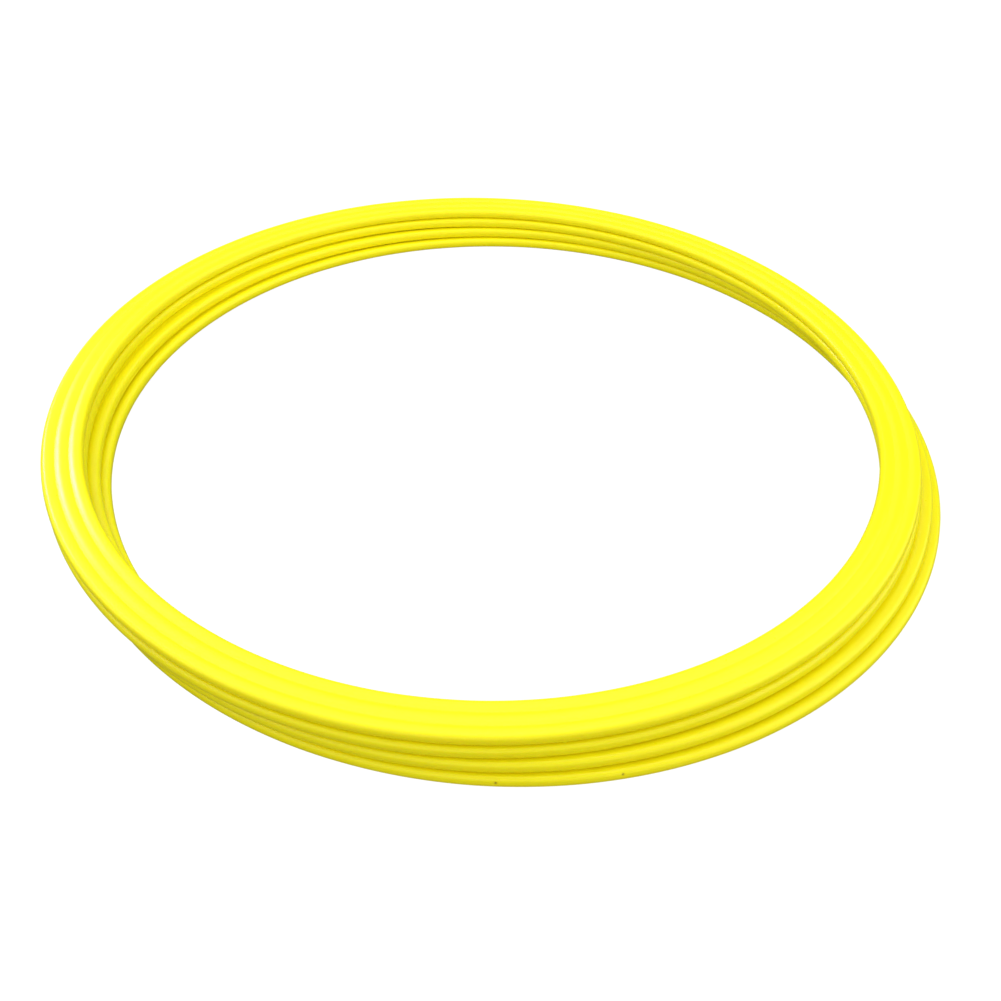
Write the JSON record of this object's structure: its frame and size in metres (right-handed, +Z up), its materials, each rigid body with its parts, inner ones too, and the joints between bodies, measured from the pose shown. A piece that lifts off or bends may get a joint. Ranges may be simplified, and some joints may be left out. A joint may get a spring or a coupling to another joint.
{
  "type": "juggling ring set",
  "caption": "Flat moulded plastic juggling rings with ribbed faces and rounded rims, laid in a slightly fanned stack; each ring lifts straight off the one below.",
  "frame": {"origin": "on the table, under the middle of the stack's bounding box, so 2.3 to 5 mm from each ring's own centre", "axes": "+Z up, along every ring's axis; +X along the longer side of the box, the way the lower rings are fanned out; -Y towards the viewer"},
  "size_m": [0.3288, 0.3246, 0.0163],
  "materials": {
    "yellow_plastic": "semi-gloss moulded"
  },
  "bodies": {
    "bottom_ring": {"ring_1": "yellow_plastic"},
    "second_ring": {"ring_2": "yellow_plastic"},
    "third_ring": {"ring_3": "yellow_plastic"},
    "top_ring": {"ring_4": "yellow_plastic"}
  },
  "joints": [
    {"name": "ring_2_lift", "type": "slide", "parent": "bottom_ring", "child": "second_ring", "axis": [0, 0, 1], "range_m": [0, 0.1]},
    {"name": "ring_3_lift", "type": "slide", "parent": "second_ring", "child": "third_ring", "axis": [0, 0, 1], "range_m": [0, 0.1]},
    {"name": "ring_4_lift", "type": "slide", "parent": "third_ring", "child": "top_ring", "axis": [0, 0, 1], "range_m": [0, 0.1]}
  ]
}
